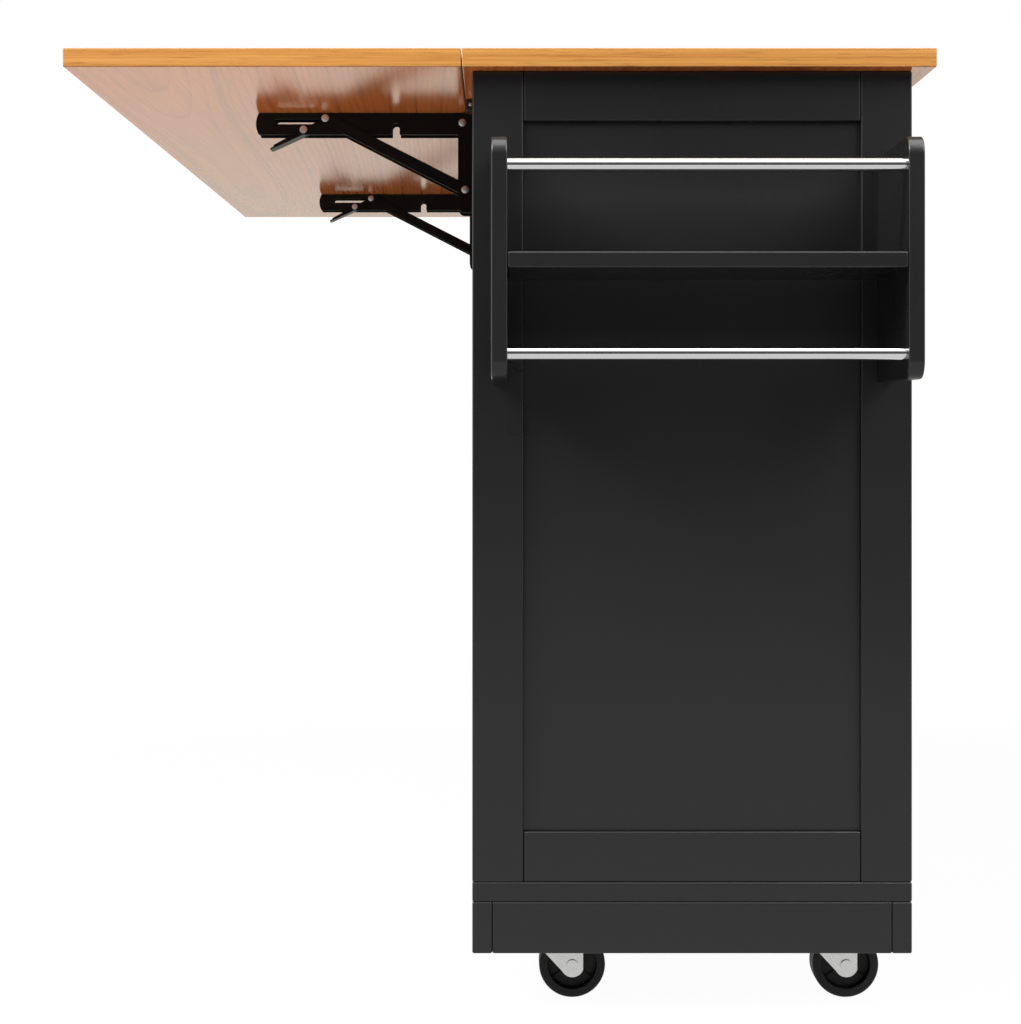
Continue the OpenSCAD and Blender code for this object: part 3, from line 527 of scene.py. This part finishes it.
bracket_black = powder("bracket_black", (0.0035, 0.003, 0.0028), 0.42, 0.25)
lever_underside_sheen = powder("lever_underside_sheen", (0.075, 0.077, 0.08), 0.5, 0.4)
rivet_steel = steel("rivet_steel", (0.92, 0.91, 0.90), 0.5)
sheet_ease, pin_ease, faces_down = 0.0004, 0.0003, -0.6
for node, body in (("wall_arms", "root"), ("support_arms", "leaf"), ("near_brace", "near_brace"),
                   ("far_brace", "far_brace")):
    add_piece(softened(node, sheet_ease), node + "_pressed", body, [bracket_black],
              [node])
for side in ("near", "far"):
    bm = softened(f"{side}_lever", sheet_ease)
    # Faces turned downward take the grey finish: a painted reflection of the floor below the lever.
    for face in bm.faces:
        face.material_index = 1 if face.normal.z < faces_down else 0
    add_piece(bm, f"{side}_lever_pressed", f"{side}_lever", [bracket_black, lever_underside_sheen],
              [f"{side}_lever"])


def add_rivets(node, body, dome):
    """The pins of a CAD node with a low dome on each end."""
    bm = softened(node, pin_ease)
    for low, high in solid_boxes(node):
        centre = (low + high) / 2
        radius = (high.z - low.z) / 2
        foot = radius * 0.94
        swell = (radius ** 2 + dome ** 2) / (2 * dome)
        reach = math.degrees(math.asin(foot / swell))
        cap = [(foot, 0)] + arc((0, dome - swell), swell, 90 - reach * 0.96, 90, 8)
        for y, axis in ((low.y, (0, -1, 0)), (high.y, (0, 1, 0))):
            add_turned(bm, cap, (centre.x, y, centre.z), axis, 24)
    add_piece(bm, node + "_domed", body, [rivet_steel], [node])


pin_dome, brace_dome, dome_under_brace = 0.0008, 0.0006, 0.0002
add_rivets("bracket_pins", "root", pin_dome)
add_rivets("lever_pins", "leaf", dome_under_brace)
for side in ("near", "far"):
    add_rivets(f"{side}_brace_rivets", f"{side}_brace", brace_dome)


# ---- Top fixing blocks ----
# Small moulded plastic blocks under the back overhang. The rounded end of a bright pin
# stands out a little on either side of each.

block_plastic = powder("block_plastic", (0.02, 0.015, 0.012), 0.45, 0.5)
add_boards("top_fixing_blocks", "root", block_plastic, 0.001)
pin_r, pin_out, pin_in = 0.0019, 0.0009, 0.001
profile = [(0, -pin_in), (pin_r, -pin_in), (pin_r, pin_out * 0.5), (pin_r * 0.6, pin_out), (0, pin_out)]
bm = bmesh.new()
for low, high in solid_boxes("top_fixing_blocks"):
    middle = (low + high) / 2
    for y, axis in ((low.y, (0, -1, 0)), (high.y, (0, 1, 0))):
        add_turned(bm, profile, (middle.x, y, middle.z), axis, 20)
add_piece(bm, "top_fixing_pins", "root", [rivet_steel])


# ---- Casters ----
# Zinc plated swivel forks under square plates on the corner blocks inside the plinth. Each
# face of a moulded wheel has a deep pocket round the hub with three raised pads in it.

def wheel_side(outer_r, half):
    """Outline of one half of a wheel, from its bore out over hub, pocket and rim to its tread."""
    hub_ease, rim_ease, tread_ease = 0.0005, 0.0008, 0.0028
    rim_r = outer_r - rim_thickness
    side = [(bore_r, half - hub_ease), (bore_r + hub_ease, half), (hub_r - hub_ease, half),
            (hub_r, half - hub_ease), (hub_r, half - pocket), (rim_r, half - pocket)]
    side += [(rim_r, half - rim_ease)]
    side += arc((rim_r + rim_ease, half - rim_ease), rim_ease, 180, 90, 4)
    return side + arc((outer_r - tread_ease, half - tread_ease), tread_ease, 90, 0, 8)


def add_pad(bm, centre, rim_r, floor_y, top_y, start):
    """One raised pad in a wheel's pocket, spun about the axle from an angle in degrees."""
    pad_gap, pad_angle = 0.0006, 108
    pad_r = rim_r - pad_gap
    part = bmesh.new()
    outline = ((hub_r, floor_y), (pad_r, floor_y), (pad_r, top_y), (hub_r, top_y))
    part.faces.new([part.verts.new((radius, y, 0)) for radius, y in outline])
    bmesh.ops.spin(part, geom=part.verts[:] + part.edges[:] + part.faces[:], cent=(0, 0, 0),
                   axis=(0, -1, 0), angle=math.radians(pad_angle), steps=18)
    bmesh.ops.recalc_face_normals(part, faces=part.faces)
    part.transform(Matrix.Translation(centre) @ Matrix.Rotation(math.radians(-start), 4, "Y"))
    move_into(part, bm)


block_wood = birch("corner_block_wood")
add_boards("caster_blocks", "root", block_wood, 0.001)
add_piece(softened("caster_plates", sheet_ease), "caster_plates_pressed", "root", [zinc],
          ["caster_plates"])
wheel_black = powder("wheel_black", (0.0125, 0.0125, 0.0125), 0.5, 0.3)
bore_r, hub_r, rim_thickness, pocket, pad_h = 0.0042, 0.0085, 0.0086, 0.0105, 0.0022
pad_starts = (96, 216, 336)
for number in (1, 2, 3, 4):
    fork, wheel = f"caster_fork_{number}", f"caster_wheel_{number}"
    add_piece(softened(fork, pin_ease), fork + "_pressed", f"fork_{number}", [zinc], [fork])
    low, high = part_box(wheel)
    centre = (low + high) / 2
    outer_r, half = (high.z - low.z) / 2, (high.y - low.y) / 2
    side = wheel_side(outer_r, half)
    other = [(radius, -height) for radius, height in reversed(side)]
    bm = bmesh.new()
    add_turned(bm, side + other + side[:1], centre, (0, 1, 0), 72)
    for face_y in (1, -1):
        floor_y = (half - pocket) * face_y
        for start in pad_starts:
            add_pad(bm, centre, outer_r - rim_thickness, floor_y, floor_y + pad_h * face_y, start)
    add_piece(bm, wheel + "_moulded", f"wheel_{number}", [wheel_black], [wheel], 30)


# ---- Floor and light ----
# A plain pale floor, a white surround, a small key light far to the left and two broad soft
# lights in front. Gloss also shows a dim screen in front and a light panel in the ceiling.

def is_seen(tree, kinds):
    """1 for rays of these kinds, otherwise 0."""
    path = add_node(tree, "LightPath", {})
    total = path.outputs[kinds[0]]
    for kind in kinds[1:]:
        total = add_node(tree, "Math", {0: total, 1: path.outputs[kind]}, operation="MAXIMUM").outputs[0]
    return total


floor_size = 60
bm = bmesh.new()
bmesh.ops.create_grid(bm, x_segments=1, y_segments=1, size=floor_size / 2)
floor_mesh = bpy.data.meshes.new("floor")
bm.to_mesh(floor_mesh)
bm.free()
floor = bpy.data.objects.new("floor", floor_mesh)
bpy.context.scene.collection.objects.link(floor)
floor_paint = bpy.data.materials.new("floor_paint")
floor_paint.use_nodes = True
tree = floor_paint.node_tree
tree.nodes.clear()
matt = add_node(tree, "BsdfDiffuse", {"Color": (0.8, 0.8, 0.8, 1)})
shown_white = add_node(tree, "Emission", {"Color": (1, 1, 1, 1), "Strength": 1.03})
place = add_node(tree, "TexCoord", {}).outputs["Object"]
backward = add_node(tree, "SeparateXYZ", {0: place}).outputs["Y"]
behind = add_node(tree, "MapRange", {"Value": backward, "From Min": -1.0, "From Max": 2.0})
pale = add_ramp(tree, behind.outputs["Result"], [(0.0, (0.62, 0.62, 0.62)), (1.0, (0.90, 0.88, 0.78))])
mirrored_white = add_node(tree, "Emission", {"Color": pale, "Strength": 1.0})
shadow_share, shadow_start, shadow_end = 0.06, 1.2, 2.6
away = add_node(tree, "VectorMath", {0: place}, operation="LENGTH").outputs["Value"]
share = add_node(tree, "MapRange", {"Value": away, "From Min": shadow_start, "From Max": shadow_end,
                                    "To Min": shadow_share, "To Max": 0.0})
faint = add_node(tree, "MixShader", {0: share.outputs["Result"], 1: shown_white.outputs[0],
                                     2: matt.outputs[0]})
for_gloss = add_node(tree, "MixShader", {0: is_seen(tree, ["Is Glossy Ray", "Is Transmission Ray"]),
                                         1: matt.outputs[0], 2: mirrored_white.outputs[0]})
final = add_node(tree, "MixShader", {0: is_seen(tree, ["Is Camera Ray"]), 1: for_gloss.outputs[0],
                                     2: faint.outputs[0]})
add_node(tree, "OutputMaterial", {"Surface": final.outputs[0]})
floor_mesh.materials.append(floor_paint)


def add_screen(name, low, high, strength):
    """A flat sheet between two corners that only gloss sees."""
    size = Vector(high) - Vector(low)
    turn = Matrix.Rotation(math.pi / 2, 4, "X") if size.y == 0 else Matrix.Identity(4)
    place = Matrix.Translation((Vector(low) + Vector(high)) / 2) @ turn
    bm = bmesh.new()
    bmesh.ops.create_grid(bm, x_segments=1, y_segments=1, size=0.5,
                          matrix=place @ Matrix.Diagonal((size.x, size.y or size.z, 1, 1)))
    mesh = bpy.data.meshes.new(name)
    bm.to_mesh(mesh)
    bm.free()
    screen = bpy.data.objects.new(name, mesh)
    bpy.context.scene.collection.objects.link(screen)
    grey = bpy.data.materials.new(name)
    grey.use_nodes = True
    tree = grey.node_tree
    tree.nodes.clear()
    dim = add_node(tree, "Emission", {"Color": (1, 1, 1, 1), "Strength": strength})
    add_node(tree, "OutputMaterial", {"Surface": dim.outputs[0]})
    mesh.materials.append(grey)
    screen.visible_camera = False
    screen.visible_diffuse = False
    screen.visible_transmission = False
    screen.visible_shadow = False


reach, screen_z, ceiling_z = 6.0, 2.3, 4.0
screen_y, panel_front, panel_rear, rear_y = -4.6, -2.8, 0.0, 8.0
add_screen("front_screen", (-reach, screen_y, 0.001), (reach, screen_y, screen_z), 0.05)
add_screen("front_haze", (-reach, screen_y, screen_z), (reach, screen_y, ceiling_z), 0.4)
add_screen("front_ceiling", (-reach, screen_y, ceiling_z), (reach, panel_front, ceiling_z), 0.9)
add_screen("light_panel", (-reach, panel_front, ceiling_z), (reach, panel_rear, ceiling_z), 4.5)
add_screen("rear_ceiling", (-reach, panel_rear, ceiling_z), (reach, rear_y, ceiling_z), 0.3)

surround = bpy.data.worlds.new("surround")
surround.use_nodes = True
tree = surround.node_tree
tree.nodes.clear()
soft_light = add_node(tree, "Background", {"Color": (1, 1, 1, 1), "Strength": 0.02})
white = add_node(tree, "Background", {"Color": (1, 1, 1, 1), "Strength": 1.0})
seen = is_seen(tree, ["Is Camera Ray", "Is Glossy Ray", "Is Transmission Ray"])
final = add_node(tree, "MixShader", {0: seen, 1: soft_light.outputs[0], 2: white.outputs[0]})
add_node(tree, "OutputWorld", {"Surface": final.outputs[0]})
bpy.context.scene.world = surround


def add_lamp(name, toward, size, power):
    """A square soft light that lies in a direction from the middle of the island."""
    distance = 4.5
    aim = Vector((0, 0, 0.5))
    data = bpy.data.lights.new(name, "AREA")
    data.size = size
    data.energy = power
    lamp = bpy.data.objects.new(name, data)
    bpy.context.scene.collection.objects.link(lamp)
    lamp.location = aim + Vector(toward).normalized() * distance
    lamp.rotation_euler = (lamp.location - aim).to_track_quat("Z", "Y").to_euler()


add_lamp("key", (-1.0, -0.44, 0.78), 0.6, 120)
add_lamp("left", (-0.8, -1.0, 0.9), 2.4, 86)
add_lamp("right", (1.0, -1.0, 0.95), 2.4, 116)


# ---- Camera ----
# The photograph looks straight along +Y, with the lens shifted so that the uprights and
# the near edges stay square to the frame.

x_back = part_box("near_end_frame")[0].x
y_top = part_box("worktop")[0].y
eye_right, eye_distance, eye_height = 0.0299, 1.8977, 0.5622
camera_data = bpy.data.cameras.new("camera")
camera_data.lens = 70.30
camera_data.shift_x = 0.00693
camera_data.shift_y = -0.07998
camera = bpy.data.objects.new("camera", camera_data)
bpy.context.scene.collection.objects.link(camera)
camera.location = (x_back + eye_right, y_top - eye_distance, eye_height)
camera.rotation_euler = (math.pi / 2, 0, 0)
bpy.context.scene.camera = camera
bpy.context.scene.view_settings.view_transform = "Standard"
